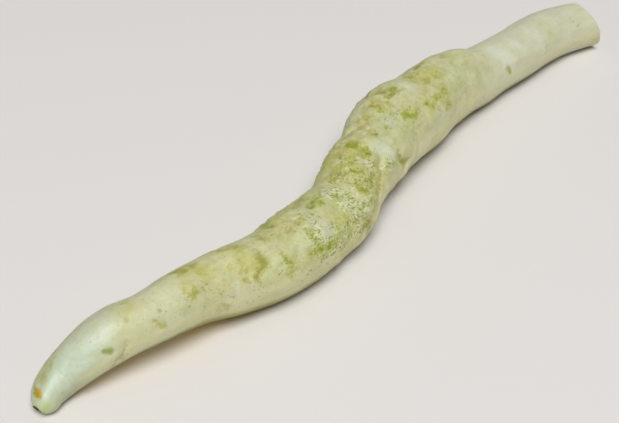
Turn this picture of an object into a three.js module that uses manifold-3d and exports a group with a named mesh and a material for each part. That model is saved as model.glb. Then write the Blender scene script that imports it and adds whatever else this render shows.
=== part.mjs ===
// A snake gourd: one long, slender, gently snaking fruit, lying on its side on a table.
// It grew as one piece, so it is one solid: the blossom tip is whole, the stem end is cut off
// with a knife, and the underside is faintly flattened where the fruit's weight rests.
// Millimetres, +Z up. The fruit lies along X, blossom tip at -X and cut stem end at +X.

import * as THREE from 'three';
import { mergeVertices } from 'three/addons/utils/BufferGeometryUtils.js';
import Module from 'manifold-3d';

// Places along the fruit, from the blossom tip to the stem:
// [distance along X, sideways along Y, gap under the belly, diameter].
const STATIONS = [
  [-268.5, 12.3, 0.5, 11.5],
  [-264.5, 13.2, 0, 15.5],
  [-260, 15, 0, 18.5],
  [-250, 16, 1, 23],
  [-238, 12.5, 6, 27],
  [-219, 7, 11, 30],
  [-201, 0, 13, 30],
  [-183, -3.5, 12, 33],
  [-165, -5.2, 8, 36],
  [-146, -10.6, 4, 40],
  [-121, -17.6, 1, 42],
  [-96, -19, 0, 45],
  [-73, -18.5, 0, 44],
  [-53, -18, 2, 44],
  [-37, -11.4, 5, 43],
  [-15, -5, 6, 45],
  [5, -1.5, 5, 47],
  [22, 5, 2, 53],
  [36, 8, 1, 55],
  [60, 9, 0, 54],
  [90, 12.1, 0, 51],
  [118, 11.5, 0, 48],
  [138, 8, 0, 43],
  [156, 6.5, 1, 40.5],
  [190, 3.5, 1, 38.5],
  [218, 2.5, 0, 39],
  [242, -1, 0, 38],
  [262, -9, 0.5, 36],
  [280, -19, 1, 33],
];

// The skin's faceting.
const SIDES = 24;
const RINGS_PER_STATION = 3;

// The knife cut at the stem end: a point on it, and which way the cut face looks.
const CUT_POINT = new THREE.Vector3(267, -13, 19);
const CUT_FACING = new THREE.Vector3(0.9, -0.25, 0.36).normalize();
const CUT_BLOCK = 120;

// How far the belly sinks into its flat resting patches.
const FLATTENING = 0.6;
const TABLE_BLOCK = new THREE.Vector3(700, 200, 40);

const wasm = await Module();
wasm.setup();

// A closed geometry as a manifold solid, with its shared vertices merged.
function toSolid(geometry) {
  geometry.deleteAttribute('normal');
  geometry.deleteAttribute('uv');
  const merged = mergeVertices(geometry, 1e-4);
  const vertProperties = new Float32Array(merged.attributes.position.array);
  const triVerts = new Uint32Array(merged.index.array);
  return new wasm.Manifold(new wasm.Mesh({ numProp: 3, vertProperties, triVerts }));
}

// A manifold solid as a geometry.
function toGeometry(solid) {
  const mesh = solid.getMesh();
  const geometry = new THREE.BufferGeometry();
  geometry.setAttribute('position', new THREE.BufferAttribute(mesh.vertProperties, 3));
  geometry.setIndex(new THREE.BufferAttribute(mesh.triVerts, 1));
  return geometry;
}

// The fruit's curved middle line, and its radius at the same share of the way along.
const last = STATIONS.length - 1;
const middleLine = new THREE.CatmullRomCurve3(
  STATIONS.map(([x, y, gap, diameter]) => new THREE.Vector3(x, y, gap + diameter / 2)),
  false,
  'catmullrom',
);
const radii = new THREE.SplineCurve(
  STATIONS.map(([, , , diameter], i) => new THREE.Vector2(i / last, diameter / 2)),
);

// The whole fruit: a straight spindle turned on a lathe, then bent along the middle line.
function wholeFruit() {
  const rings = last * RINGS_PER_STATION;
  const profile = [new THREE.Vector2(0, 0)];
  for (let i = 0; i <= rings; i += 1) {
    profile.push(new THREE.Vector2(radii.getPoint(i / rings).y, i / rings));
  }
  profile.push(new THREE.Vector2(0, 1));
  const spindle = new THREE.LatheGeometry(profile, SIDES);

  const up = new THREE.Vector3(0, 0, 1);
  const position = spindle.attributes.position;
  const place = new THREE.Vector3();
  for (let i = 0; i < position.count; i += 1) {
    place.fromBufferAttribute(position, i);
    const centre = middleLine.getPoint(place.y);
    const forward = middleLine.getTangent(place.y);
    const side = new THREE.Vector3().crossVectors(up, forward).normalize();
    const top = new THREE.Vector3().crossVectors(forward, side);
    centre.addScaledVector(side, place.z).addScaledVector(top, place.x);
    position.setXYZ(i, centre.x, centre.y, centre.z);
  }
  return toSolid(spindle);
}

// What the knife takes off: a block whose near face is the cut.
function knifeBlock() {
  const block = new THREE.BoxGeometry(CUT_BLOCK, CUT_BLOCK, CUT_BLOCK);
  block.translate(0, 0, CUT_BLOCK / 2);
  const turn = new THREE.Quaternion().setFromUnitVectors(new THREE.Vector3(0, 0, 1), CUT_FACING);
  block.applyQuaternion(turn);
  block.translate(CUT_POINT.x, CUT_POINT.y, CUT_POINT.z);
  return toSolid(block);
}

// The table top, which trims the belly flat where it rests.
function tableBlock() {
  const block = new THREE.BoxGeometry(TABLE_BLOCK.x, TABLE_BLOCK.y, TABLE_BLOCK.z);
  block.translate(0, 0, FLATTENING - TABLE_BLOCK.z / 2);
  return toSolid(block);
}

// The fruit as it lies, with its box's middle over the origin and its belly on z = 0.
function gourdGeometry() {
  const cut = wholeFruit().subtract(knifeBlock()).subtract(tableBlock());
  const geometry = toGeometry(cut);
  geometry.computeBoundingBox();
  const middle = geometry.boundingBox.getCenter(new THREE.Vector3());
  geometry.translate(-middle.x, -middle.y, -FLATTENING);
  return geometry;
}

const skin = new THREE.MeshStandardMaterial({ color: 0xc4cf9e, roughness: 0.5, metalness: 0 });

const gourd = new THREE.Mesh(gourdGeometry(), skin);
gourd.name = 'snake_gourd';

const group = new THREE.Group();
group.add(gourd);

export default group;
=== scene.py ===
"""A snake gourd on a pale table, whole from its withered blossom end to the knife cut at its stem end."""

import math

import bpy
import numpy as np
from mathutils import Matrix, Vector, noise


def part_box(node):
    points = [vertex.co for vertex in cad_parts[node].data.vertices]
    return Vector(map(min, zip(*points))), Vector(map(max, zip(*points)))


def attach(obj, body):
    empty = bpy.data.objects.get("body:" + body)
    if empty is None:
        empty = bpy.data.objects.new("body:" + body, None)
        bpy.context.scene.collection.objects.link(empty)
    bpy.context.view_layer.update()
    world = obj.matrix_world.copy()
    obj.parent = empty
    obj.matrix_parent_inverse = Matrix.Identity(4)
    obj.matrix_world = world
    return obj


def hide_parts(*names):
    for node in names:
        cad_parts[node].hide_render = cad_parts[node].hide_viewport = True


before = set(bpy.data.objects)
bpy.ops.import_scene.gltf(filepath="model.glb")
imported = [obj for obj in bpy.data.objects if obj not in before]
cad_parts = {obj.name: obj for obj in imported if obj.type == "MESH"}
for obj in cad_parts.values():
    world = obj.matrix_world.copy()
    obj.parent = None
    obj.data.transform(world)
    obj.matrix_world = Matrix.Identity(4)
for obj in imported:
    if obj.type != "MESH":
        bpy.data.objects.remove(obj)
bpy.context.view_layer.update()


# ------------------------------------------------------------------------------------------------
# The camera. It stands low beyond the blossom end, a little to the side, and looks along the fruit
# and down at the table through a long lens.

CAMERA_PLACE = (-0.531, -0.36565, 0.4449)
CAMERA_HEADING = 38.22  # degrees from +X towards +Y
CAMERA_DIP = 35.66  # degrees below level

camera_data = bpy.data.cameras.new("camera")
camera_data.sensor_width = 36
camera_data.lens = 69.8
camera = bpy.data.objects.new("camera", camera_data)
camera.location = CAMERA_PLACE
camera.rotation_euler = (math.radians(90 - CAMERA_DIP), 0, math.radians(CAMERA_HEADING - 90))
bpy.context.scene.collection.objects.link(camera)
bpy.context.scene.camera = camera
bpy.context.scene.view_settings.view_transform = "Standard"


# ------------------------------------------------------------------------------------------------
# The table: a wide sheet of warm white laminate, matt enough to show only a soft shadow. Far from
# the gourd, where the lamp no longer reaches, the camera sees it melt into the background.

TABLE_HALF_WIDTH = 30
TABLE_DROP = 0.0001  # keeps the table top just clear of the belly's flat patches
TABLE_COLOUR = (228, 224, 221)
TABLE_NEAR = 0.7  # distances from the gourd's middle between which it melts away, in metres
TABLE_FAR = 1.9


def paint(red, green, blue):
    """A colour given from 0 to 255, as the shaders want it."""
    levels = [value / 255 for value in (red, green, blue)]
    linear = [v / 12.92 if v <= 0.04045 else ((v + 0.055) / 1.055) ** 2.4 for v in levels]
    return (*linear, 1)


def new_mesh_object(name, vertices, faces):
    mesh = bpy.data.meshes.new(name)
    mesh.from_pydata(vertices, [], faces)
    made = bpy.data.objects.new(name, mesh)
    bpy.context.scene.collection.objects.link(made)
    return made


def new_material(name):
    """A material with only its shader and output, and the tree and the shader to build on."""
    material = bpy.data.materials.new(name)
    material.use_nodes = True
    return material, material.node_tree, material.node_tree.nodes["Principled BSDF"]


half = TABLE_HALF_WIDTH
table_corners = ((-half, -half), (half, -half), (half, half), (-half, half))
table = new_mesh_object("table", [(x, y, -TABLE_DROP) for x, y in table_corners], [(0, 1, 2, 3)])
table_material, table_tree, table_shader = new_material("table_laminate")
table_shader.inputs["Base Color"].default_value = paint(*TABLE_COLOUR)
table_shader.inputs["Roughness"].default_value = 0.7
table_shader.inputs["Specular IOR Level"].default_value = 0.2
table_nodes = table_tree.nodes
place = table_nodes.new("ShaderNodeTexCoord")
distance = table_nodes.new("ShaderNodeVectorMath")
distance.operation = "LENGTH"
table_tree.links.new(place.outputs["Object"], distance.inputs[0])
far = table_nodes.new("ShaderNodeMapRange")
far.inputs["From Min"].default_value = TABLE_NEAR
far.inputs["From Max"].default_value = TABLE_FAR
table_tree.links.new(distance.outputs["Value"], far.inputs["Value"])
table_rays = table_nodes.new("ShaderNodeLightPath")
table_seen = table_nodes.new("ShaderNodeMath")
table_seen.operation = "MULTIPLY"
table_tree.links.new(table_rays.outputs["Is Camera Ray"], table_seen.inputs[0])
table_tree.links.new(far.outputs["Result"], table_seen.inputs[1])
table_glow = table_nodes.new("ShaderNodeEmission")
table_glow.inputs["Color"].default_value = paint(*TABLE_COLOUR)
melt = table_nodes.new("ShaderNodeMixShader")
table_tree.links.new(table_seen.outputs[0], melt.inputs[0])
table_tree.links.new(table_shader.outputs[0], melt.inputs[1])
table_tree.links.new(table_glow.outputs[0], melt.inputs[2])
table_tree.links.new(melt.outputs[0], table_nodes["Material Output"].inputs["Surface"])
table.data.materials.append(table_material)


# ------------------------------------------------------------------------------------------------
# The light: an even white room and one big soft lamp, far off and high above the camera. Seen
# directly or in a shiny surface, the room has the table's colour.

ROOM_LEVEL = 0.19
LAMP_PLACE = Vector((-2.0, -2.1, 5.2))
LAMP_WIDTH = 3.0
LAMP_POWER = 325

world = bpy.data.worlds.new("room")
bpy.context.scene.world = world
world.use_nodes = True
room = world.node_tree
room_light = room.nodes["Background"]
room_light.inputs["Color"].default_value = (1, 1, 1, 1)
room_light.inputs["Strength"].default_value = ROOM_LEVEL
room_seen = room.nodes.new("ShaderNodeBackground")
room_seen.inputs["Color"].default_value = paint(*TABLE_COLOUR)
room_seen.inputs["Strength"].default_value = 1
rays = room.nodes.new("ShaderNodeLightPath")
seen_or_mirrored = room.nodes.new("ShaderNodeMath")
seen_or_mirrored.operation = "MAXIMUM"
room.links.new(rays.outputs["Is Camera Ray"], seen_or_mirrored.inputs[0])
room.links.new(rays.outputs["Is Glossy Ray"], seen_or_mirrored.inputs[1])
seen_at_all = room.nodes.new("ShaderNodeMath")
seen_at_all.operation = "MAXIMUM"
room.links.new(seen_or_mirrored.outputs[0], seen_at_all.inputs[0])
room.links.new(rays.outputs["Is Transmission Ray"], seen_at_all.inputs[1])
choose_room = room.nodes.new("ShaderNodeMixShader")
room.links.new(seen_at_all.outputs[0], choose_room.inputs[0])
room.links.new(room_light.outputs[0], choose_room.inputs[1])
room.links.new(room_seen.outputs[0], choose_room.inputs[2])
room.links.new(choose_room.outputs[0], room.nodes["World Output"].inputs["Surface"])

lamp_data = bpy.data.lights.new("soft_lamp", "AREA")
lamp_data.shape = "SQUARE"
lamp_data.size = LAMP_WIDTH
lamp_data.energy = LAMP_POWER
lamp = bpy.data.objects.new("soft_lamp", lamp_data)
lamp.location = LAMP_PLACE
lamp.rotation_euler = (-LAMP_PLACE).to_track_quat("-Z", "Y").to_euler()
bpy.context.scene.collection.objects.link(lamp)


# ------------------------------------------------------------------------------------------------
# The gourd's form. One fruit about 55 cm long, as thick as a wrist at its swollen middle, which
# grew in lazy bends. These are the same stations along it as the CAD solid's, in millimetres:
# distance along X, sideways along Y, gap under the belly, diameter.

MM = 0.001
STATIONS = [
    (-268.5, 12.3, 0.5, 11.5),
    (-264.5, 13.2, 0, 15.5),
    (-260, 15, 0, 18.5),
    (-250, 16, 1, 23),
    (-238, 12.5, 6, 27),
    (-219, 7, 11, 30),
    (-201, 0, 13, 30),
    (-183, -3.5, 12, 33),
    (-165, -5.2, 8, 36),
    (-146, -10.6, 4, 40),
    (-121, -17.6, 1, 42),
    (-96, -19, 0, 45),
    (-73, -18.5, 0, 44),
    (-53, -18, 2, 44),
    (-37, -11.4, 5, 43),
    (-15, -5, 6, 45),
    (5, -1.5, 5, 47),
    (22, 5, 2, 53),
    (36, 8, 1, 55),
    (60, 9, 0, 54),
    (90, 12.1, 0, 51),
    (118, 11.5, 0, 48),
    (138, 8, 0, 43),
    (156, 6.5, 1, 40.5),
    (190, 3.5, 1, 38.5),
    (218, 2.5, 0, 39),
    (242, -1, 0, 38),
    (262, -9, 0.5, 36),
    (280, -19, 1, 33),
]
CUT_POINT = np.array((267, -13, 19))
CUT_LEAN = np.array((0.9, -0.25, 0.36))
CUT_FACING = CUT_LEAN / np.linalg.norm(CUT_LEAN)
FLATTENING = 0.6  # how far the belly sinks into its resting patches
SKIN_RINGS = 520
COLUMNS = 168
SLANTING_LENGTH = 60  # the rings lean over this length to end in the slanting cut
UP = np.array((0, 0, 1))


def smooth_line(stations, steps=60):
    """The smooth line through the stations, with as many steps between each pair."""
    points = np.array(stations, float)
    gaps = np.diff(points[:, 0])[:, None]
    slopes = np.diff(points, axis=0) / gaps
    inner = (slopes[:-1] * gaps[1:] + slopes[1:] * gaps[:-1]) / (gaps[:-1] + gaps[1:])
    slopes = np.vstack([slopes[:1], inner, slopes[-1:]])
    t = np.linspace(0, 1, steps, endpoint=False)[:, None]
    ease = t * t * (3 - 2 * t)
    spans = []
    for start, end, leave, arrive, gap in zip(points, points[1:], slopes, slopes[1:], gaps):
        bend = t * (1 - t) * ((1 - t) * leave - t * arrive) * gap
        spans.append(start + (end - start) * ease + bend)
    return np.vstack([*spans, points[-1:]])


def unit(vectors):
    return vectors / np.linalg.norm(vectors, axis=-1, keepdims=True)


line = smooth_line(STATIONS)
line_middle = np.column_stack([line[:, 0], line[:, 1], line[:, 2] + line[:, 3] / 2])
line_radius = line[:, 3] / 2
steps_long = np.linalg.norm(np.diff(line_middle, axis=0), axis=1)
line_length = np.concatenate([[0], np.cumsum(steps_long)])
line_forward = unit(np.gradient(line_middle, axis=0))
line_side = unit(np.cross(UP, line_forward))
line_top = np.cross(line_forward, line_side)


def on_line(values, along):
    """The line's values at distances along it from the blossom end, in mm."""
    if values.ndim == 1:
        return np.interp(along, line_length, values)
    return np.stack([np.interp(along, line_length, column) for column in values.T], -1)


def skin_place(along, turn, rise=0.0):
    """Points on the skin, rise mm off the plain tube: turn is in degrees, 0 on top and 90 towards -Y."""
    angle = np.radians(turn)[..., None]
    outward = np.cos(angle) * on_line(line_top, along) - np.sin(angle) * on_line(line_side, along)
    return on_line(line_middle, along) + (on_line(line_radius, along) + rise)[..., None] * outward


# Each column of the skin runs from the blossom end to the cut, so the last ring lies in the cut.
columns = np.arange(COLUMNS) * 360 / COLUMNS - 180
probe_along, probe_turn = np.meshgrid(line_length[line_length > 400], columns, indexing="ij")
beyond = (skin_place(probe_along, probe_turn) - CUT_POINT) @ CUT_FACING > 0
column_end = probe_along[beyond.argmax(0), 0]
mean_end = column_end.mean()
slant_start = mean_end - SLANTING_LENGTH
level_along = np.linspace(0, mean_end, SKIN_RINGS)[:, None]
lean = np.clip((level_along - slant_start) / SLANTING_LENGTH, 0, 1)
along = level_along + lean * (column_end - mean_end)
turn = np.broadcast_to(columns, along.shape)
radius = on_line(line_radius, along)
unrolled = np.stack([along, radius * np.sin(np.radians(turn)), radius * np.cos(np.radians(turn))], -1)


# ------------------------------------------------------------------------------------------------
# The gourd's surface. The skin is uneven to the touch: broad soft dents, faint lengthwise ribs,
# and creases and folds where the fruit bent as it grew, most of them on the inside of its waist.

NOISE_GAIN = 1.8  # brings the noise to about -1 to 1


def smooth_step(low, high, value):
    t = np.clip((value - low) / (high - low), 0, 1)
    return t * t * (3 - 2 * t)


def clouds(size, stretch=1.0, seed=0.0):
    """Soft random values over the skin, size mm across round the fruit and stretch times that along it."""
    places = unrolled / (size * np.array((stretch, 1, 1))) + seed * 7.31
    values = [noise.noise(place) for place in places.reshape(-1, 3).tolist()]
    return NOISE_GAIN * np.array(values).reshape(along.shape)


def stroke(points, spread=1.0, shift=(0.0, 0.0)):
    """A soft stroke over the skin through (along, turn, half width in mm), 1 along its middle."""
    best = np.zeros(along.shape)
    widest = max(width for _, _, width in points)
    if len(points) == 1:
        points = points * 2
    for (a0, t0, w0), (a1, t1, w1) in zip(points, points[1:]):
        ahead = along + shift[0] - a0
        aside = radius * np.radians((turn - t0 + 180) % 360 - 180) + shift[1]
        run = a1 - a0
        swing = radius * math.radians(t1 - t0)
        share = np.clip((ahead * run + aside * swing) / np.maximum(run**2 + swing**2, 1e-6), 0, 1)
        width = (w0 + (w1 - w0) * share) * spread
        off = np.hypot(ahead - share * run, aside - share * swing) / width
        best = np.maximum(best, np.exp(-(off**2)) * (width / widest / spread) ** 0.5)
    return best


FOLD_DEPTH = 1.9  # of a fold whose height is 1, in mm
CREASE_LIMIT = -0.4  # a crease deeper than this is also darkened in the skin's colour, as painted shade
WRINKLE_HEIGHT = 0.55
NOSE_TUCK = 0.9  # how far the skin draws in where it rounds over at the blossom end
# Height, below 0 for a crease, then its course as (along, turn, half width in mm).
FOLDS = [
    (-0.3, [(12, -26, 3), (16, -9, 4), (22, 8, 3)]),
    (-0.3, [(21, 67, 3), (26, 56, 3.5), (33, 47, 3)]),
    (-0.5, [(47, 116, 2), (50, 104, 3), (54, 90, 2.5), (58, 81, 1.5)]),
    (-0.35, [(98, -28, 1.8), (99.5, -9, 1.8), (101, 3, 1)]),
    (-0.35, [(108, -33, 2), (106, -14, 2), (105, 0, 1.2)]),
    (-0.4, [(129, -38, 2.5), (131, -19, 2.5), (133, -3, 2)]),
    (-0.4, [(142, 2, 3), (145, 18, 3), (144.5, 35, 4), (141, 50, 4), (137, 62, 2.5)]),
    (0.3, [(144, -24, 4), (147, -9, 4), (150, 5, 3)]),
    (-0.6, [(165, -38, 3.5), (167, -15, 2.6), (172, -4, 1.8), (177, 15, 1.8)]),
    (0.35, [(174, -42, 2), (172, -25, 2), (175, -10, 2)]),
    (-0.4, [(190, -35, 3), (191, -15, 3)]),
    (-0.9, [(191, 4, 1.8), (195, -4, 1.5), (200.5, -9, 2), (205, -1, 1.4)]),
    (0.7, [(194, 7, 2), (202, 3, 2.6)]),
    (0.5, [(206, -33, 4), (209.5, -14, 5), (208, 3, 4)]),
    (-0.4, [(203, 64, 1.5), (210, 59, 2), (219, 66, 1.5)]),
    (-0.5, [(218.5, 70, 2), (219.5, 84, 2.5), (217, 99, 2)]),
    (-0.8, [(227, 62, 1.6), (228.5, 75, 2), (227, 90, 2)]),
    (-0.5, [(231, 41, 1.2), (236, 47, 2), (244, 49, 1.6)]),
    (-1.0, [(260.5, 42, 1.8), (254, 51, 2.8), (247, 61, 3.4), (240, 71, 4), (232, 83, 4), (226, 98, 3.5)]),
    (0.35, [(264, 62, 5), (254, 79, 6), (244, 99, 5)]),
    (-0.8, [(260, -52, 2), (259.5, -30, 2), (258.5, -16, 2), (259.5, 3, 2.6), (258.5, 21, 2.2)]),
    (-0.7, [(263, -34, 1.2), (264, -20, 1.5), (264.5, -4, 1.3), (266, 8, 1)]),
    (-0.6, [(269, -53, 2), (267.5, -35, 2), (268, -21, 1.6)]),
    (-0.4, [(268, -8, 1.5), (271, -3, 2), (274, 0, 1.4)]),
    (0.7, [(267.5, 3, 2.4), (269, 20, 4), (271, 38, 4.5), (274, 53, 3)]),
    (-0.9, [(268, -45, 1.5), (272, -33, 2.2), (277, -20, 2.8), (278, -6, 2.2), (276.5, 5, 1.8)]),
    (0.7, [(273, -37, 2), (280, -45, 3.5), (289, -50, 4)]),
    (-0.6, [(275.5, 60, 1.4), (277.5, 71, 1.6)]),
    (-1.1, [(281, 60, 1.6), (281, 76, 2.4), (284, 93, 2.4)]),
    (0.4, [(286, 58, 2.5), (287, 76, 3), (291, 93, 3)]),
    (-0.35, [(281, 32, 1.6), (283, 43, 2)]),
    (-0.4, [(287, -19, 1.2), (291, -27, 1.2)]),
    (-0.4, [(293, -27, 1.2), (299, -36, 1.6)]),
    (0.6, [(291, 19, 2), (297, 25, 2.5), (300, 36, 2.5), (305, 46, 2)]),
    (-0.6, [(302, -27, 1.6), (301, -8, 1.4)]),
    (-0.35, [(302, 56, 2), (308, 51, 2), (313, 49, 1.6)]),
    (-0.6, [(318, -49, 1.8), (314, -38, 1.6), (312, -31, 1.2)]),
    (-1.0, [(315, -28, 2.4), (318, -12, 2.4), (319.5, -1, 2.4), (313, 1, 1.6)]),
    (-0.5, [(321, -2, 1.6), (325, 6, 1.4), (327, 13, 1)]),
    (0.6, [(322, -35, 4), (328, -14, 5), (333, 3, 4)]),
    (-0.5, [(361, -39, 3), (346, -15, 3.5), (340, 4, 2.5)]),
    (-0.7, [(377, -39, 4), (366, -21, 4.5), (358, -14, 3)]),
    (-0.4, [(370, -12, 3), (362, 4, 2)]),
    (-0.4, [(380, -7, 1.5), (374, 2, 1.2)]),
    (-0.45, [(401, -35, 3), (392, -18, 3), (385, -7, 2.5)]),
    (-0.3, [(431, -33, 4), (417, -13, 5)]),
    (-0.5, [(437, 58, 1.6), (439.5, 68, 3), (442, 79, 2)]),
    (0.5, [(458, 29, 6), (456, 44, 6), (450, 61, 5)]),
    (-0.4, [(470, 16, 3), (467, 31, 3.5), (459, 51, 3)]),
]

belly_side = smooth_step(108, 150, np.abs(turn))
waist = smooth_step(150, 190, along) * (1 - smooth_step(325, 360, along))
rise = 0.8 * clouds(36, 1.3, seed=1) + 0.35 * clouds(15, 1.6, seed=2) + 0.12 * clouds(6, 1.4, seed=3)
rise += 0.3 * np.cos(np.radians(5 * turn) + 1.5 * clouds(120, 2, seed=4)) * smooth_step(20, 90, along)
rise += waist * (0.4 * clouds(9, 0.8, seed=7) + 0.2 * clouds(4.5, 0.9, seed=8))
inner_side = smooth_step(150, 170, along) * (1 - smooth_step(322, 345, along))
inner_side = inner_side * (1 - smooth_step(-14, 24, turn)) * smooth_step(-110, -80, turn)
wrinkles = 1 - np.abs(clouds(7, 0.45, seed=9))
rise += inner_side * WRINKLE_HEIGHT * (smooth_step(0.55, 0.95, wrinkles) - 0.3)
waver = (2.0 * clouds(14, 1, seed=5), 2.0 * clouds(14, 1, seed=6))
for height, course in FOLDS:
    rise += FOLD_DEPTH * height * stroke(course, shift=waver)
rise *= (1 - 0.85 * belly_side) * smooth_step(0, 30, along)
rise -= NOSE_TUCK * (1 - np.clip(along / 3, 0, 1)) ** 2
skin = skin_place(along, turn, rise)


# ------------------------------------------------------------------------------------------------
# The blossom end: the blunt nose where the flower withered off. It is rounded over, with a fuller
# lobe on one side, and puckers into a small dry brown hollow on the other.

NOSE_RINGS = 24
NOSE_BULGE = 1.0  # how far the rounded end stands out, in mm
LOBE = 0.9  # how much further the lobe beside the scar stands out, in mm
LOBE_TURN = 70
SCAR_SHARE = 0.6  # how much of the nose's width the scar takes up
SCAR_DEPTH = 0.6
SCAR_OFFSET = (2.3, 1.2)  # towards +Y and up, in mm
PUCKERS = 9
PUCKER_DEPTH = 0.1

nose_share = np.sin(np.linspace(0.04, 0.98, NOSE_RINGS) * math.pi / 2)[:, None]
lobe_side = np.clip(np.cos(np.radians(columns - LOBE_TURN)), 0, 1) ** 2
nose_stand = NOSE_BULGE * (1 - nose_share**3) ** 0.7
nose_stand = nose_stand + LOBE * lobe_side * np.sin(math.pi * nose_share**1.5) ** 2
nose_stand = nose_stand - SCAR_DEPTH * (1 - smooth_step(0.6, 1.15, nose_share / SCAR_SHARE))
pucker_reach = smooth_step(0.1, 0.35, nose_share) * (1 - smooth_step(0.45, 0.85, nose_share))
nose_stand = nose_stand + PUCKER_DEPTH * np.sin(np.radians(columns) * PUCKERS) * pucker_reach
nose_middle = skin[0].mean(0)
nose_forward = line_forward[0]
scar_pull = SCAR_OFFSET[0] * line_side[0] + SCAR_OFFSET[1] * line_top[0]
nose = nose_middle + (skin[0] - nose_middle) * nose_share[..., None]
nose = nose + (1 - nose_share[..., None]) * scar_pull
nose = nose - nose_stand[..., None] * nose_forward


# ------------------------------------------------------------------------------------------------
# The cut end: sliced off with a knife a little aslant. The skin's edge is crisp, the green flesh
# stands a hair proud of the softer pith, and the pith has a few seed hollows and splits.

EDGE_ROUNDING = 0.25  # in mm
FACE_SHARES = np.array([0.985, 0.96, *np.linspace(0.93, 0.03, 41)])  # its rings, from the rim inwards
SPLIT_WIDTH = 0.42
SPLIT_DEPTH = 0.8
HOLLOW_WIDTH = 1.5
HOLLOW_DEPTH = 0.6
PITH_DEPTH = 0.35
SPLIT_WAVER = 0.5

# Puts the last ring exactly in the cut, by sliding it along the fruit.
end_forward = on_line(line_forward, along[-1])
slide = ((CUT_POINT - skin[-1]) @ CUT_FACING) / (end_forward @ CUT_FACING)
skin[-1] += (slide - EDGE_ROUNDING)[:, None] * end_forward
rim = skin[-1] + EDGE_ROUNDING * end_forward
face_middle = rim.mean(0)
face_across = unit(np.cross(UP, CUT_FACING))
face_up = np.cross(CUT_FACING, face_across)
face_share = np.broadcast_to(FACE_SHARES[:, None], (len(FACE_SHARES), COLUMNS))
face = face_middle + (rim - face_middle) * face_share[..., None]
face_x = (face - face_middle) @ face_across
face_y = (face - face_middle) @ face_up


def face_noise(size, seed):
    """Soft random values over the cut face, about -1 to 1, by their size in mm."""
    places = np.stack([face_x / size, face_y / size, np.full(face_x.shape, seed)], -1)
    values = [noise.noise(place) for place in places.reshape(-1, 3).tolist()]
    return NOISE_GAIN * np.array(values).reshape(face_x.shape)


crack_x = face_x + SPLIT_WAVER * face_noise(2.2, 5.5)
crack_y = face_y + SPLIT_WAVER * face_noise(2.2, 6.5)


def face_stroke(points, width):
    """A soft wavy line on the cut face through (across, up) in mm: 1 on it, fading beyond its width."""
    nearest = np.full(face_x.shape, 1e9)
    for (x0, y0), (x1, y1) in zip(points, points[1:]):
        run, climb = x1 - x0, y1 - y0
        share = np.clip(((crack_x - x0) * run + (crack_y - y0) * climb) / (run**2 + climb**2), 0, 1)
        nearest = np.minimum(nearest, np.hypot(crack_x - x0 - share * run, crack_y - y0 - share * climb))
    return np.exp(-((nearest / width) ** 2))


SPLITS = [
    [(-2, 6), (1, 4.5), (2.5, 1)],
    [(2.5, 0), (3, -2.5), (2.5, -4)],
    [(3, -3.5), (5, -3), (7, -4)],
    [(-7, 4), (-8, 1)],
]
SEED_HOLLOWS = [[(-7, 3), (-6.5, 0)], [(5.5, -5), (7, -3)], [(-0.5, -7.5), (0, -8)]]
splits = np.max([face_stroke(points, SPLIT_WIDTH) for points in SPLITS], 0)
hollows = np.max([face_stroke(points, HOLLOW_WIDTH) for points in SEED_HOLLOWS], 0)
pith = 1 - smooth_step(0.68, 0.78, face_share)
face_rise = -PITH_DEPTH * pith - SPLIT_DEPTH * splits - HOLLOW_DEPTH * hollows
face_rise += 0.14 * face_noise(3.5, 4.5)
face = face + face_rise[..., None] * CUT_FACING


# ------------------------------------------------------------------------------------------------
# Where each colour of the skin lies, as one soft mask for each. The strokes are the marks that
# this fruit has, with painted shade and a painted highlight among them: strength, then (along,
# turn, half width in mm). Clouds finish the sides away from them.

BLOOM_AND_HIGHLIGHT = [
    # The first stroke is a painted highlight along the top of the nose.
    (0.6, [(7, 14, 3), (10, 24, 5), (15, 32, 6)]),
    (0.7, [(15, 40, 8), (28, 42, 9), (44, 36, 9), (54, 28, 6)]),
    (0.5, [(20, 58, 7), (34, 64, 8), (50, 58, 6)]),
    (0.4, [(69, 50, 2), (69, 60, 2)]),
    (0.4, [(80, 58, 2), (79, 78, 2.4)]),
    (0.7, [(124, 60, 2.4), (125, 80, 2.4)]),
    (0.6, [(183, 26, 4), (186, 46, 5)]),
    (0.6, [(214, 30, 4), (217, 56, 5)]),
    (0.4, [(222, 10, 3), (222, 24, 3)]),
    (0.5, [(246, 12, 3), (250, 26, 3)]),
    (0.6, [(264, 22, 4), (270, 38, 6), (270, 52, 6)]),
    (0.6, [(289, 16, 3), (291, 26, 3)]),
    (0.5, [(297, 28, 2), (298, 38, 2)]),
    (0.5, [(328, -6, 5), (330, 14, 6)]),
    (0.5, [(339, 64, 3), (341, 72, 3)]),
    (0.9, [(434, 20, 7), (440, 38, 8), (436, 56, 6)]),
    (0.7, [(456, 24, 5), (460, 44, 6)]),
    (0.6, [(478, 16, 5), (484, 44, 6), (481, 66, 5)]),
    (0.5, [(503, 0, 5), (508, 26, 6)]),
    (0.3, [(474, 66, 6), (480, 76, 6)]),
    (0.3, [(507, 48, 4)]),
    (0.3, [(518, 66, 6)]),
]
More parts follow.
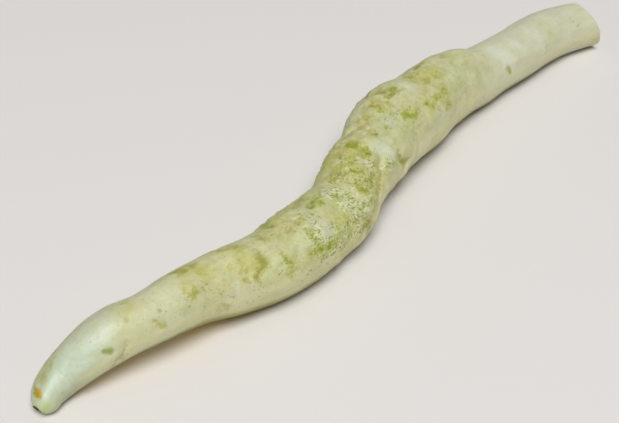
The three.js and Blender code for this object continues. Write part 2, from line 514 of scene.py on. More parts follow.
YELLOW = [
    (0.6, [(190, 96, 7), (214, 98, 9), (238, 100, 8)]),
    (0.6, [(14, -24, 5), (22, -10, 4)]),
    (0.8, [(64, -14, 4), (65, 2, 4), (65, 18, 4)]),
    (0.6, [(96, 18, 4), (96, 50, 3)]),
    (1.0, [(100, -22, 6), (104, -4, 7), (108, 16, 6), (110, 30, 4)]),
    (0.8, [(127, -24, 6), (131, 0, 6), (135, 22, 7), (141, 40, 7), (138, 56, 5)]),
    (0.6, [(124, 26, 4), (131, 36, 4)]),
    (0.6, [(155, -4, 6), (168, 6, 6), (178, 10, 4)]),
    (0.7, [(152, -36, 8), (170, -34, 9), (190, -36, 9), (206, -36, 7)]),
    (0.6, [(192, 0, 4), (204, 0, 4)]),
    (0.4, [(198, 36, 8), (206, 46, 8)]),
    (0.7, [(228, 24, 4), (229, 40, 4)]),
    (0.9, [(228, -16, 8), (238, -6, 8), (240, 14, 8)]),
    (1.0, [(240, -50, 10), (252, -44, 10), (254, -24, 8)]),
    (0.9, [(250, -6, 6), (258, 0, 7), (257, 18, 6)]),
    (0.8, [(232, 56, 7), (244, 60, 7)]),
    (0.7, [(284, -34, 6), (296, -22, 8), (304, -14, 6)]),
    (0.8, [(300, 34, 5), (312, 42, 5)]),
    (1.0, [(342, 0, 7), (352, 6, 8), (364, 8, 7)]),
    (0.7, [(336, 46, 6), (354, 48, 6)]),
    (0.6, [(352, -30, 8), (372, -30, 8)]),
    (0.35, [(388, -4, 8), (396, 0, 8)]),
    (0.35, [(470, -14, 5), (472, -4, 5)]),
    (0.3, [(522, 10, 7)]),
]
LEAF_GREEN = [
    (0.35, [(75, 68, 2.4), (76, 78, 2.4)]),
    (0.6, [(95, 36, 2), (95, 50, 2.4)]),
    (0.5, [(131, 44, 2.4), (129, 58, 2.4)]),
    (0.6, [(156, 32, 2), (157, 48, 2.4), (156, 68, 2.2)]),
    (0.7, [(175, 62, 2.4), (186, 66, 2.4)]),
    (1.0, [(192, 3, 1.8), (196, 7, 2.4), (201, 6, 2)]),
    (0.8, [(191, 0, 1.6), (194, -6, 1.6), (200, -9, 1.8)]),
    (0.5, [(202, 50, 4), (208, 60, 4)]),
    (0.9, [(228, 22, 2.2), (228, 32, 2), (229, 42, 2.6)]),
    (1.0, [(238, 12, 2.4), (239, 20, 2.4)]),
    (0.6, [(245, 2, 3), (249, 8, 2.6)]),
    (0.5, [(246, -44, 5), (256, -52, 5)]),
    (1.0, [(259, -18, 2), (260, -2, 2.8), (259, 10, 2.6), (258, 24, 2.4)]),
    (0.7, [(273, 10, 1.8), (278, 6, 1.8)]),
    (0.7, [(277, 64, 2.6), (281, 76, 2.6)]),
    (0.7, [(285, 16, 2.2)]),
    (0.6, [(297, 2, 4), (304, 4, 3.4)]),
    (1.0, [(301, 34, 2.2), (306, 38, 3), (312, 44, 2.4)]),
    (0.9, [(313, -2, 2.6), (319, 0, 3)]),
    (0.8, [(329, 47, 2.4), (338, 46, 2.6), (346, 46, 3), (356, 45, 2.4)]),
    (0.7, [(346, 60, 3.4), (353, 62, 3)]),
    (0.6, [(342, -12, 3), (350, -6, 3)]),
    (0.8, [(362, -20, 3.4), (370, -26, 3.6), (376, -36, 3.4)]),
    (0.8, [(437, 62, 1.8), (439, 70, 2.2)]),
]
# Olive stains, and painted shade: many of these strokes lie along the creases and darken them, and the
# first darkens the lower flank where the fruit turns under.
OLIVE_STAINS_AND_SHADE = [
    (0.35, [(186, 112, 6), (214, 110, 7), (236, 112, 6)]),
    (0.4, [(8, 96, 5), (18, 104, 5)]),
    (0.6, [(8, -36, 3), (16, -26, 4), (26, -28, 4)]),
    (0.7, [(7, -4, 3), (15, -8, 4), (24, -14, 4)]),
    (0.3, [(57, 80, 2), (53, 98, 3), (50, 118, 2.6)]),
    (0.5, [(63, -6, 2.4), (63, -20, 3)]),
    (1.0, [(99, -26, 2.4), (99, -12, 2.8), (100, -4, 2)]),
    (0.9, [(105, -24, 2.2), (106, -8, 2.4)]),
    (0.6, [(112, 90, 4), (116, 96, 4)]),
    (0.7, [(123, -34, 3), (125, -20, 3), (127, -8, 3), (130, 0, 2.4)]),
    (0.8, [(133, -18, 2.4), (133, -6, 2)]),
    (1.0, [(145, 24, 2), (144, 36, 2.8), (142, 46, 2.8), (137, 58, 2.4)]),
    (0.5, [(150, -10, 2.4), (156, -9, 2)]),
    (0.5, [(150, 2, 1.6), (161, 3, 1.6)]),
    (0.5, [(165, 10, 2), (172, 12, 2.4), (178, 14, 2)]),
    (0.9, [(168, -44, 3), (167, -30, 3), (166, -12, 2.2)]),
    (0.6, [(184, -32, 4), (188, -14, 3)]),
    (0.7, [(196, -36, 4), (200, -20, 3)]),
    (0.9, [(199, -10, 2), (204, -7, 2.4), (204, -2, 1.8)]),
    (0.6, [(176, 63, 2.4), (184, 65, 2)]),
    (0.6, [(208, 60, 1.8), (216, 65, 1.8), (223, 56, 1.6)]),
    (0.7, [(219, 66, 3), (221, 82, 4), (222, 96, 4)]),
    (0.8, [(230, 42, 1.4), (237, 45, 2), (244, 47, 1.6)]),
    (0.5, [(232, 60, 5), (244, 66, 5)]),
    (0.8, [(252, 39, 2)]),
    (0.9, [(258, -20, 2), (260, -4, 2.2)]),
    (0.5, [(228, -16, 2.4), (235, -12, 2.4)]),
    (0.8, [(272, 8, 1.6), (276, 5, 2.2), (280, 2, 1.6)]),
    (0.8, [(278, 62, 2), (281, 78, 2.6), (283, 92, 3)]),
    (0.5, [(288, -24, 2), (293, -14, 2)]),
    (0.7, [(301, -30, 1.8), (302, -8, 1.6)]),
    (0.9, [(313, -34, 2.2), (316, -22, 2.6), (318, -8, 2.4), (320, 1, 2)]),
    (0.5, [(304, 54, 3), (310, 56, 3)]),
    (0.6, [(346, 14, 3), (352, 16, 3)]),
    (0.5, [(360, 15, 3), (365, 14, 2)]),
    (0.9, [(358, -18, 2.6), (366, -20, 3), (374, -32, 3)]),
    (0.4, [(386, -8, 4), (392, -24, 5)]),
    (0.5, [(437, 60, 1.8), (438, 68, 2.4), (441, 76, 1.8)]),
    (0.35, [(484, 58, 4), (485, 74, 4)]),
    (0.3, [(499, 46, 3)]),
    (0.35, [(530, 46, 4), (534, 56, 4)]),
]
DARK_SPOTS = [
    (0.6, [(37, 22, 1)]),
    (0.6, [(44, 31, 1.2)]),
    (0.6, [(62, 31, 1.2)]),
    (0.5, [(65, 40, 1)]),
    (0.6, [(73, 58, 1.2)]),
    (0.9, [(79, 42, 1.2)]),
    (0.6, [(97, 31, 1)]),
    (0.6, [(102, 47, 1)]),
    (0.6, [(113, 28, 1)]),
    (0.7, [(113, 64, 1.4)]),
    (0.6, [(131, 65, 1)]),
    (0.9, [(204, -5, 1.4)]),
    (0.7, [(234, -14, 1.4)]),
    (0.9, [(247, -21, 1.8), (249, -21, 1.4)]),
    (0.8, [(252, 39, 1.6)]),
    (0.8, [(254, 63, 1.6)]),
    (0.9, [(260, -2, 1.6)]),
    (0.8, [(261, 64, 1.8)]),
    (0.6, [(268, 75, 1.4)]),
    (0.9, [(285, 17, 1.6)]),
    (0.9, [(318, 1, 1.8)]),
    (0.7, [(330, 47, 1.4)]),
    (0.7, [(337, 58, 1.4)]),
    (0.9, [(365, -20, 2)]),
]
TAN = [
    (0.4, [(28, -34, 5), (48, -24, 5), (72, -22, 5)]),
    (0.3, [(22, 96, 4), (30, 104, 4)]),
    (0.4, [(90, -34, 4), (97, -36, 4)]),
    (0.4, [(141, -2, 3)]),
    (0.5, [(150, 2, 2), (160, 3, 2)]),
    (0.6, [(166, 8, 2.4), (178, 12, 2.4)]),
    (0.7, [(248, -30, 4), (253, -28, 4)]),
    (0.6, [(268, -40, 2.4), (270, -12, 2)]),
    (1.0, [(275, -22, 2.6), (280, -14, 2.8)]),
    (0.7, [(284, -30, 3)]),
    (0.8, [(314, -46, 3), (318, -40, 3)]),
    (0.3, [(448, 76, 3), (447, 86, 3)]),
    (0.4, [(551, 88, 4), (556, 104, 4)]),
]
SPECKLED = [
    (1.0, [(178, 6, 5), (184, 16, 6), (180, 30, 5), (180, 44, 5)]),
    (1.0, [(174, 62, 4), (186, 64, 5), (200, 62, 5), (212, 60, 6), (222, 56, 5)]),
    (0.8, [(176, 76, 5), (192, 78, 6), (208, 80, 6), (222, 78, 5)]),
    (0.7, [(192, 46, 4), (196, 56, 4)]),
    (1.0, [(212, -4, 6), (216, 14, 7), (214, 34, 6), (218, 52, 6)]),
    (1.0, [(226, -6, 5), (234, -12, 5), (242, -6, 5), (236, 6, 6)]),
    (1.0, [(230, 22, 7), (242, 28, 8), (234, 40, 6), (248, 36, 6)]),
    (0.8, [(250, 10, 5), (256, 30, 5)]),
    (0.7, [(254, 60, 5), (266, 66, 5), (270, 76, 4)]),
    (0.5, [(152, -8, 5), (158, 4, 5)]),
]
SPRINKLED = [
    (0.7, [(88, 70, 8), (110, 84, 8), (140, 86, 8)]),
    (0.8, [(126, 10, 7), (140, 62, 9), (158, 50, 8)]),
    (0.5, [(34, 20, 5), (46, 32, 6)]),
    (0.5, [(56, 28, 5), (66, 36, 6)]),
    (0.7, [(70, 56, 7), (92, 56, 8)]),
    (0.8, [(100, 46, 10), (116, 64, 12), (122, 44, 8)]),
    (0.8, [(150, 60, 9), (164, 78, 9), (182, 86, 7)]),
    (0.8, [(152, 0, 8), (168, 6, 8)]),
    (0.8, [(262, 64, 6), (276, 72, 7)]),
    (1.0, [(280, 10, 8), (300, 24, 9), (316, 36, 8)]),
    (0.8, [(330, 40, 8), (350, 52, 8)]),
]

fray = (1.5 * clouds(6, 1, seed=11), 1.5 * clouds(6, 1, seed=12))
seen_side = smooth_step(-75, -45, turn) * (1 - smooth_step(120, 140, turn))
tender = smooth_step(50, 110, along) * (1 - smooth_step(390, 450, along))
back = (1 - seen_side) * (1 - belly_side) * tender  # has no marks of its own, so clouds stain it
masks = {}


def mask_of(strokes, spread=1.2):
    return np.max([strength * stroke(points, spread, fray) for strength, points in strokes], 0)


masks["bloom_and_highlight"] = np.maximum(mask_of(BLOOM_AND_HIGHLIGHT), 0.4 * smooth_step(0.1, 0.9, clouds(26, 1.4, seed=21)))
masks["yellow"] = np.maximum(mask_of(YELLOW), 0.5 * smooth_step(0.2, 0.9, clouds(30, 1.2, seed=22)))
leaf_clouds = back * smooth_step(0.7, 1.1, clouds(13, 1.2, seed=23))
masks["leaf_green"] = np.maximum(mask_of(LEAF_GREEN), leaf_clouds)
olive_clouds = back * smooth_step(0.6, 1.1, clouds(17, 0.6, seed=24))
masks["olive_and_shade"] = np.maximum(mask_of(OLIVE_STAINS_AND_SHADE), 0.8 * olive_clouds)
masks["dark_spot"] = mask_of(DARK_SPOTS)
masks["tan"] = mask_of(TAN)
speckled_clouds = back * smooth_step(0.15, 0.7, clouds(60, 1.2, seed=25))
masks["speckled"] = np.maximum(mask_of(SPECKLED), speckled_clouds)
sprinkled_clouds = back * smooth_step(0.1, 0.7, clouds(50, 1.2, seed=26))
masks["sprinkled"] = np.maximum(mask_of(SPRINKLED), sprinkled_clouds)
# Painted shade: the deeper creases are darkened in the skin's colour too, along the same courses as their
# dents.
creases = [course for height, course in FOLDS if height < CREASE_LIMIT]
masks["crease_shade"] = np.max([stroke(course, 0.7, waver) for course in creases], 0)
wrinkled_length = smooth_step(128, 150, along) * (1 - smooth_step(325, 345, along))
masks["wrinkled"] = wrinkled_length * (1 - smooth_step(-12, 16, turn))
# Painted shade: the underside turns darker olive where the fruit curves under towards the table, which
# also tints its contact shadow.
belly_length = smooth_step(3, 16, along) * (1 - smooth_step(505, 535, along))
masks["belly"] = smooth_step(112, 132, np.abs(turn)) * belly_length
# Painted light: the underside over the arch is golden-orange, so that the light it bounces warms the
# shadow beneath, as if it shone through the flesh.
arch_length = smooth_step(8, 30, along) * (1 - smooth_step(110, 150, along))
masks["arch_glow"] = smooth_step(144, 160, np.abs(turn)) * arch_length
# Painted light: the flank towards the camera and the lamp is lighter and creamier, from near the nose to
# the cut.
lit_flank_side = smooth_step(68, 90, turn) * (1 - smooth_step(108, 124, turn))
masks["painted_light_flank"] = lit_flank_side * smooth_step(16, 40, along)
masks["blossom_end"] = 1 - smooth_step(30, 75, along)
masks["tender"] = tender
masks["nose_patch"] = stroke([(7, -34, 1.7), (5, -22, 2.3), (3.6, -6, 2), (3, 8, 1.2)])
masks["nose_orange"] = stroke([(7, -19, 0.9), (5.4, -7, 1.1), (4, 6, 1)])
masks["nose_spot"] = stroke([(44.5, 64, 1.8), (47, 71, 2.2)])
# Painted highlight: a bluish-white streak along the top of the nose.
masks["nose_highlight"] = stroke([(3, 26, 2), (5, 22, 2.6), (9, 27, 3), (14, 30, 3.4), (24, 34, 4)])


# ------------------------------------------------------------------------------------------------
# The gourd as one closed mesh: the nose's rings, the skin's rings and the cut face's rings.

FACE_START = NOSE_RINGS + SKIN_RINGS
NOSE_REACH = 2  # how far the straightened nose runs on past the skin, in mm
FACE_REACH = 15  # and the straightened cut face

rings = np.concatenate([nose, skin, rim[None], face])
slot_low, slot_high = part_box("snake_gourd")
plain_skin = skin_place(along, turn)
shift = (np.array(slot_low) + slot_high) / MM / 2 - (plain_skin.min((0, 1)) + plain_skin.max((0, 1))) / 2
shift[2] = -FLATTENING
rings = rings + shift
rings[..., 2] = np.maximum(rings[..., 2], 0)

ring_count = len(rings)
vertices = np.vstack([rings.reshape(-1, 3), rings[0].mean(0), rings[-1].mean(0)]) * MM
faces = []
for ring in range(ring_count - 1):
    for column in range(COLUMNS):
        beside = (column + 1) % COLUMNS
        here, there = ring * COLUMNS, (ring + 1) * COLUMNS
        faces.append((here + column, here + beside, there + beside, there + column))
nose_tip, face_centre = ring_count * COLUMNS, ring_count * COLUMNS + 1
last_ring = (ring_count - 1) * COLUMNS
for column in range(COLUMNS):
    beside = (column + 1) % COLUMNS
    faces.append((nose_tip, beside, column))
    faces.append((face_centre, last_ring + column, last_ring + beside))
gourd = new_mesh_object("gourd", vertices.tolist(), faces)
gourd.data.polygons.foreach_set("use_smooth", np.ones(len(faces), bool))


def give(name, nose_values, skin_values, face_values):
    """Stores a mask on the mesh, one value for each of its points."""
    shape = (1, COLUMNS)
    parts = [
        np.broadcast_to(nose_values, (NOSE_RINGS, COLUMNS)),
        skin_values,
        np.broadcast_to(face_values[:1] if np.ndim(face_values) else face_values, shape),
        np.broadcast_to(face_values, face_share.shape),
    ]
    values = np.concatenate(parts)
    values = np.concatenate([values.ravel(), [values[0].mean(), values[-1].mean()]])
    stored = gourd.data.attributes.new(name, "FLOAT", "POINT")
    stored.data.foreach_set("value", values.astype(np.float32))


for name, values in masks.items():
    give(name, values[0], values, 0.0)
nowhere = np.zeros(along.shape)
give("scar", 1 - smooth_step(0.8, 1.2, nose_share / SCAR_SHARE), nowhere, 0.0)
lobe_on_nose = lobe_side * smooth_step(0.3, 0.7, nose_share)
give("lobe", lobe_on_nose, lobe_side * (1 - smooth_step(0, 5, along)), 0.0)
give("face_share", 0.0, nowhere + 1, face_share)
give("split", 0.0, nowhere, splits)
give("hollow", 0.0, nowhere, hollows)

# The fruit drawn out straight, so that the skin's patterns follow its bends. The nose and the cut
# face run on a little way past its two ends.
nose_along = NOSE_REACH * (nose_share - 1) + 0 * columns
nose_unrolled = np.stack([nose_along, nose_share * unrolled[0, :, 1], nose_share * unrolled[0, :, 2]], -1)
face_unrolled = np.stack([mean_end + (1 - face_share) * FACE_REACH, face_x, face_y], -1)
straight = np.concatenate([nose_unrolled, unrolled, unrolled[-1:], face_unrolled]).reshape(-1, 3)
straight = np.vstack([straight, (-NOSE_REACH, 0, 0), (mean_end + FACE_REACH, 0, 0)])
stored = gourd.data.attributes.new("straightened", "FLOAT_VECTOR", "POINT")
stored.data.foreach_set("vector", (straight * MM).astype(np.float32).ravel())


# ------------------------------------------------------------------------------------------------
# The skin's finish: pale waxy green, cloudy rather than even, with dusty white bloom, fresh and
# olive green stains, clusters of small dark green flecks with light gaps, and a soft satin shine.
# Some colours are painted light: a highlight on the nose, a lighter flank towards the lamp, shade
# in the creases and under the fruit, and a golden underside that warms the shadow under the arch.

def add(tree, kind, inputs=(), **settings):
    """A node with its settings made and its inputs set, or joined to another node's output."""
    node = tree.nodes.new(kind)
    for name, value in settings.items():
        setattr(node, name, value)
    for name, value in dict(inputs).items():
        if isinstance(value, bpy.types.NodeSocket):
            tree.links.new(value, node.inputs[name])
        else:
            node.inputs[name].default_value = value
    return node


def mask_node(tree, name):
    return add(tree, "ShaderNodeAttribute", attribute_name=name).outputs["Fac"]


def reckon(tree, operation, first, second=0.0, third=0.0):
    return add(tree, "ShaderNodeMath", {0: first, 1: second, 2: third}, operation=operation).outputs[0]


def between(tree, value, low, high):
    """0 below low and 1 above high, with a smooth rise from one to the other."""
    inputs = {"Value": value, "From Min": low, "From Max": high}
    return add(tree, "ShaderNodeMapRange", inputs, interpolation_type="SMOOTHSTEP").outputs["Result"]


def layer(tree, amount, under, over):
    """One colour laid over another by an amount."""
    return add(tree, "ShaderNodeMix", {0: amount, 6: under, 7: over}, data_type="RGBA").outputs[2]


def new_group(name, inputs, outputs):
    """An empty node group with named sockets, and the sockets of its inside ends."""
    group = bpy.data.node_groups.new(name, "ShaderNodeTree")
    for label, kind, value in inputs:
        socket = group.interface.new_socket(label, in_out="INPUT", socket_type=kind)
        if value is not None:
            socket.default_value = value
    for label, kind in outputs:
        group.interface.new_socket(label, in_out="OUTPUT", socket_type=kind)
    return group, group.nodes.new("NodeGroupInput").outputs, group.nodes.new("NodeGroupOutput").inputs


# Cloudy patches: soft random values over the fruit, 0 to 1, by the size of the patches in metres
# and by how many times longer than wide they lie along the fruit.
cloudy, inside, result = new_group(
    "cloudy",
    [
        ("Place", "NodeSocketVector", None),
        ("Size", "NodeSocketFloat", 0.01),
        ("Length", "NodeSocketFloat", 1),
        ("Detail", "NodeSocketFloat", 2),
    ],
    [("Value", "NodeSocketFloat"), ("Raw", "NodeSocketFloat")],
)
finer = reckon(cloudy, "DIVIDE", 1.0, inside["Size"])
shorter = reckon(cloudy, "DIVIDE", 1.0, inside["Length"])
shortened = add(cloudy, "ShaderNodeCombineXYZ", {0: shorter, 1: 1.0, 2: 1.0})
squeezed = add(
    cloudy, "ShaderNodeVectorMath", {0: inside["Place"], 1: shortened.outputs[0]}, operation="MULTIPLY"
).outputs[0]
puffs = add(cloudy, "ShaderNodeTexNoise", {"Vector": squeezed, "Scale": finer, "Detail": inside["Detail"]})
cloudy.links.new(between(cloudy, puffs.outputs["Fac"], 0.3, 0.7), result["Value"])
cloudy.links.new(puffs.outputs["Fac"], result["Raw"])

# Flecks: small ragged dashes, more and bigger where Density is higher.
flecks, inside, result = new_group(
    "flecks",
    [
        ("Raw", "NodeSocketFloat", 0.5),
        ("Density", "NodeSocketFloat", 0.5),
        ("Least", "NodeSocketFloat", 0.76),
        ("Softness", "NodeSocketFloat", 0.03),
    ],
    [("Dashes", "NodeSocketFloat")],
)
cut = reckon(flecks, "MULTIPLY_ADD", inside["Density"], -0.2, inside["Least"])
above = reckon(flecks, "SUBTRACT", inside["Raw"], cut)
sharp = reckon(flecks, "DIVIDE", above, inside["Softness"])
flecks.links.new(between(flecks, sharp, -0.6, 1.0), result["Dashes"])

skin_material, skin_tree, skin_shader = new_material("waxy_skin")
straight_place = add(skin_tree, "ShaderNodeAttribute", attribute_name="straightened").outputs["Vector"]


def cloud_node(tree, place, size, length=1.0, detail=2.0):
    inputs = {"Place": place, "Size": size, "Length": length, "Detail": detail}
    return add(tree, "ShaderNodeGroup", inputs, node_tree=cloudy).outputs


def skin_cloud(size, length=1.0, detail=2.0, seed=0.0, slant=0.0):
    """Clouds over the skin, turned by slant degrees: a seed tells apart those of one size."""
    turned = (0, 0, -math.radians(slant))
    inputs = {"Vector": straight_place, "Location": (seed, 0, 0), "Rotation": turned}
    moved = add(skin_tree, "ShaderNodeMapping", inputs).outputs[0]
    return cloud_node(skin_tree, moved, size, length, detail)


def part(amount, share):
    return reckon(skin_tree, "MULTIPLY", amount, share)


broad = skin_cloud(0.026, 1.4, 3)["Value"]
patchy = skin_cloud(0.010, 1.2, 3, seed=1)["Value"]
small = skin_cloud(0.0045, 1.1, 3, seed=2)["Value"]
fine = skin_cloud(0.0018, 1.2, 3, seed=3)["Value"]
streaky = skin_cloud(0.003, 9, 2, seed=4)["Value"]


def frayed(name, low=0.25, high=0.85, fray=0.5):
    """A mask with its soft edge broken up by the small and the fine clouds, and worn thin in places."""
    mask = mask_node(skin_tree, name)
    near = reckon(skin_tree, "MINIMUM", part(mask, 4), 1)
    rough = reckon(skin_tree, "MULTIPLY_ADD", reckon(skin_tree, "SUBTRACT", small, 0.5), fray)
    rough = reckon(skin_tree, "MULTIPLY_ADD", reckon(skin_tree, "SUBTRACT", fine, 0.5), fray * 0.6, rough)
    return between(skin_tree, reckon(skin_tree, "MULTIPLY_ADD", rough, near, mask), low, high)


GREY_GREEN = paint(178, 182, 134)
CREAM = paint(194, 191, 142)
PALE_GREEN = paint(210, 214, 172)
END_WAX = paint(200, 202, 182)
WHITE_BLOOM = paint(206, 214, 194)
# Also the colour of the painted highlight on the nose.
NOSE_BLOOM_AND_HIGHLIGHT = paint(200, 214, 196)
FAR_BLOOM = paint(212, 216, 196)
# Painted light on the flank towards the lamp.
FLANK_PAINTED_LIGHT = paint(220, 217, 170)
STRAW_STREAK = paint(184, 180, 112)
YELLOW_GREEN = paint(186, 184, 92)
LEAF_STAIN = paint(128, 144, 18)
# Olive stains, and painted shade along creases and the lower flank.
OLIVE_STAIN_AND_SHADE = paint(140, 134, 22)
SHADE_MOTTLE = paint(148, 148, 96)
LIGHT_GAP = paint(216, 218, 166)
FLECK_GREEN = paint(150, 158, 56)
DARK_FLECK = paint(118, 128, 34)
GREY_FLECK = paint(124, 134, 66)
# Painted shade in the creases and the wrinkles.
FOLD_SHADE_TAN = paint(164, 148, 86)
TAN_STAIN = paint(178, 150, 96)
# Painted shade on the underside, where the fruit curves under.
BELLY_SHADE_OLIVE = paint(136, 132, 34)
# Painted light: golden-orange underside over the arch, to warm the shadow beneath by its bounce.
ARCH_GLOW_TAN = paint(236, 202, 0)
CORK_BROWN = paint(78, 48, 14)
NOSE_OLIVE = paint(160, 146, 0)
NOSE_ORANGE = paint(198, 140, 50)
LOBE_GREEN = paint(176, 196, 112)
NOSE_GREEN = paint(168, 182, 148)

colour = layer(skin_tree, broad, GREY_GREEN, CREAM)
colour = layer(skin_tree, part(patchy, 0.55), colour, PALE_GREEN)
ends = reckon(skin_tree, "SUBTRACT", 1.0, mask_node(skin_tree, "tender"))
colour = layer(skin_tree, part(ends, 0.7), colour, END_WAX)
colour = layer(skin_tree, part(mask_node(skin_tree, "blossom_end"), 0.6), colour, NOSE_GREEN)
colour = layer(skin_tree, part(streaky, 0.22), colour, STRAW_STREAK)
colour = layer(skin_tree, part(frayed("yellow", 0.1, 1.0, 0.3), 0.65), colour, YELLOW_GREEN)
bloom_and_highlight_colour = layer(skin_tree, ends, WHITE_BLOOM, FAR_BLOOM)
bloom_and_highlight_colour = layer(skin_tree, mask_node(skin_tree, "blossom_end"), bloom_and_highlight_colour, NOSE_BLOOM_AND_HIGHLIGHT)
colour = layer(skin_tree, part(frayed("bloom_and_highlight", 0.05, 1.0, 0.3), 0.8), colour, bloom_and_highlight_colour)
mottled = reckon(skin_tree, "MULTIPLY_ADD", ends, -0.8, 1.0)
small_mottle = part(between(skin_tree, small, 0.45, 1.0), 0.22)
colour = layer(skin_tree, part(small_mottle, mottled), colour, SHADE_MOTTLE)
fine_mottle = part(between(skin_tree, fine, 0.5, 1.0), 0.12)
colour = layer(skin_tree, part(fine_mottle, mottled), colour, SHADE_MOTTLE)
# Painted shade of the wrinkles: darker tan bands round the wrinkled inside of the waist.
rings_round = between(skin_tree, skin_cloud(0.006, 0.2, 3, seed=9)["Raw"], 0.52, 0.65)
ring_shade_amount = part(rings_round, mask_node(skin_tree, "wrinkled"))
colour = layer(skin_tree, part(ring_shade_amount, 0.32), colour, FOLD_SHADE_TAN)
# Painted light: the flank towards the lamp, lighter and creamier.
colour = layer(skin_tree, part(mask_node(skin_tree, "painted_light_flank"), 0.5), colour, FLANK_PAINTED_LIGHT)
# Painted shade along the deeper creases.
colour = layer(skin_tree, part(frayed("crease_shade", 0.2, 0.95, 0.4), 0.35), colour, FOLD_SHADE_TAN)
colour = layer(skin_tree, part(frayed("tan", 0.1, 1.0), 0.45), colour, TAN_STAIN)

speckled = between(skin_tree, mask_node(skin_tree, "speckled"), 0.05, 0.75)
clustered = part(speckled, reckon(skin_tree, "MULTIPLY_ADD", patchy, 0.35, 0.65))


def flecks_of(raw, density, least, softness):
    inputs = {"Raw": raw, "Density": density, "Least": least, "Softness": softness}
    return add(skin_tree, "ShaderNodeGroup", inputs, node_tree=flecks).outputs["Dashes"]


FLECK_SLANT = 35  # degrees from along the fruit

gaps = flecks_of(skin_cloud(0.0032, 1.6, 2, seed=5, slant=FLECK_SLANT)["Raw"], clustered, 0.72, 0.08)
blots = flecks_of(skin_cloud(0.0045, 1.8, 3, seed=6, slant=FLECK_SLANT)["Raw"], clustered, 0.72, 0.09)
dashes = flecks_of(skin_cloud(0.0013, 1.3, 2, seed=7, slant=FLECK_SLANT)["Raw"], clustered, 0.73, 0.05)
sprinkled = mask_node(skin_tree, "sprinkled")
specks = flecks_of(skin_cloud(0.0016, 1.3, 2, seed=8)["Raw"], sprinkled, 0.79, 0.05)
colour = layer(skin_tree, part(gaps, 0.5), colour, LIGHT_GAP)
colour = layer(skin_tree, part(blots, 0.5), colour, FLECK_GREEN)
colour = layer(skin_tree, part(frayed("leaf_green", 0.0, 0.6), 0.4), colour, YELLOW_GREEN)
# Olive stains, with painted shade along creases and the lower flank.
colour = layer(skin_tree, part(frayed("olive_and_shade", 0.1, 1.1, 0.4), 0.65), colour, OLIVE_STAIN_AND_SHADE)
leaf_amount = part(frayed("leaf_green", 0.1, 1.1, 0.5), reckon(skin_tree, "MULTIPLY_ADD", fine, 0.4, 0.5))
colour = layer(skin_tree, leaf_amount, colour, LEAF_STAIN)
colour = layer(skin_tree, part(specks, 0.6), colour, GREY_FLECK)
colour = layer(skin_tree, part(dashes, 0.7), colour, DARK_FLECK)
colour = layer(skin_tree, part(frayed("dark_spot", 0.2, 1.0, 0.3), 0.6), colour, DARK_FLECK)
# Painted shade: darker olive underside.
colour = layer(skin_tree, part(mask_node(skin_tree, "belly"), 0.85), colour, BELLY_SHADE_OLIVE)
# Painted light: golden-orange underside over the arch.
colour = layer(skin_tree, part(mask_node(skin_tree, "arch_glow"), 0.9), colour, ARCH_GLOW_TAN)
# Painted highlight along the top of the nose.
colour = layer(skin_tree, part(mask_node(skin_tree, "nose_highlight"), 0.6), colour, NOSE_BLOOM_AND_HIGHLIGHT)
colour = layer(skin_tree, part(mask_node(skin_tree, "lobe"), 0.55), colour, LOBE_GREEN)
colour = layer(skin_tree, part(frayed("nose_spot", 0.15, 0.9, 0.2), 0.8), colour, LEAF_STAIN)
colour = layer(skin_tree, frayed("nose_patch", 0.25, 0.95, 0.3), colour, NOSE_OLIVE)
colour = layer(skin_tree, part(frayed("nose_orange", 0.2, 1.0, 0.3), 0.7), colour, NOSE_ORANGE)
colour = layer(skin_tree, between(skin_tree, mask_node(skin_tree, "scar"), 0.1, 0.7), colour, CORK_BROWN)
skin_tree.links.new(colour, skin_shader.inputs["Base Color"])

roughness = reckon(skin_tree, "MULTIPLY_ADD", small, 0.12, 0.46)
roughness = reckon(skin_tree, "MULTIPLY_ADD", ends, -0.12, roughness)
skin_tree.links.new(roughness, skin_shader.inputs["Roughness"])
height = part(small, 0.6)
height = reckon(skin_tree, "MULTIPLY_ADD", fine, 0.3, height)
bump = add(skin_tree, "ShaderNodeBump", {"Height": height, "Strength": 0.4, "Distance": 0.0006})
skin_tree.links.new(bump.outputs["Normal"], skin_shader.inputs["Normal"])
skin_shader.inputs["Subsurface Weight"].default_value = 0.4
skin_shader.inputs["Subsurface Radius"].default_value = (1.0, 0.6, 0.2)
skin_shader.inputs["Subsurface Scale"].default_value = 0.012
skin_shader.inputs["Specular IOR Level"].default_value = 0.35


# ------------------------------------------------------------------------------------------------
# The cut flesh's finish: a thin pale skin line, a band of wet bright green flesh, then white
# pith clouded with pale yellow-green, with glassy seed hollows and dark splits.

RIM_PALE = paint(212, 222, 124)
FLESH_GREEN = paint(160, 208, 24)
FLESH_DEEP = paint(138, 188, 12)
PITH_WHITE = paint(240, 253, 226)
PITH_YELLOW = paint(236, 246, 186)
SEED_GLASS = paint(196, 216, 196)
SPLIT_DARK = paint(70, 84, 30)

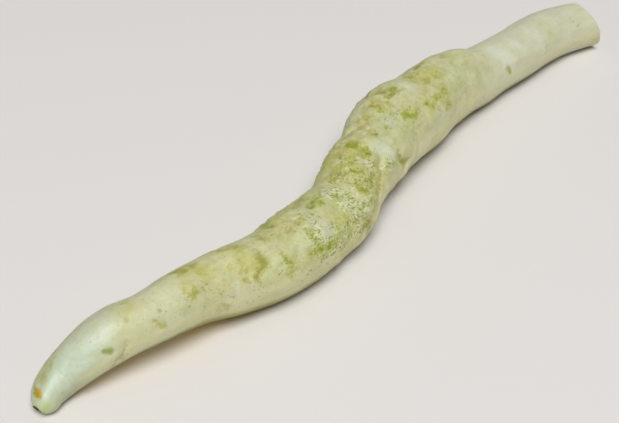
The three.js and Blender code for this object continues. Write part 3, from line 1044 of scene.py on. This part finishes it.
flesh_material, flesh_tree, flesh_shader = new_material("cut_flesh")
flesh_place = add(flesh_tree, "ShaderNodeAttribute", attribute_name="straightened").outputs["Vector"]
share = mask_node(flesh_tree, "face_share")


def flesh_cloud(size):
    return cloud_node(flesh_tree, flesh_place, size)["Value"]


ragged = reckon(flesh_tree, "MULTIPLY_ADD", flesh_cloud(0.003), 0.05, share)
flesh_colour = layer(flesh_tree, flesh_cloud(0.004), PITH_WHITE, PITH_YELLOW)
green_mix = layer(flesh_tree, flesh_cloud(0.003), FLESH_GREEN, FLESH_DEEP)
flesh_colour = layer(flesh_tree, between(flesh_tree, ragged, 0.68, 0.8), flesh_colour, green_mix)
flesh_colour = layer(flesh_tree, between(flesh_tree, share, 0.955, 0.985), flesh_colour, RIM_PALE)
flesh_colour = layer(flesh_tree, mask_node(flesh_tree, "hollow"), flesh_colour, SEED_GLASS)
split_core = between(flesh_tree, mask_node(flesh_tree, "split"), 0.25, 0.9)
flesh_colour = layer(flesh_tree, split_core, flesh_colour, SPLIT_DARK)
flesh_tree.links.new(flesh_colour, flesh_shader.inputs["Base Color"])
wet = reckon(flesh_tree, "MULTIPLY_ADD", flesh_cloud(0.002), 0.25, 0.18)
flesh_tree.links.new(wet, flesh_shader.inputs["Roughness"])
grain_inputs = {"Height": flesh_cloud(0.0012), "Strength": 0.3, "Distance": 0.0004}
grain = add(flesh_tree, "ShaderNodeBump", grain_inputs)
flesh_tree.links.new(grain.outputs["Normal"], flesh_shader.inputs["Normal"])
flesh_shader.inputs["Subsurface Weight"].default_value = 0.5
flesh_shader.inputs["Subsurface Radius"].default_value = (1.0, 0.9, 0.4)
flesh_shader.inputs["Subsurface Scale"].default_value = 0.003

gourd.data.materials.append(skin_material)
gourd.data.materials.append(flesh_material)
material_index = np.zeros(len(faces), np.int32)
material_index[FACE_START * COLUMNS : last_ring] = 1
material_index[last_ring + 1 :: 2] = 1
gourd.data.polygons.foreach_set("material_index", material_index)
gourd.data.update()

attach(gourd, "root")
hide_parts("snake_gourd")
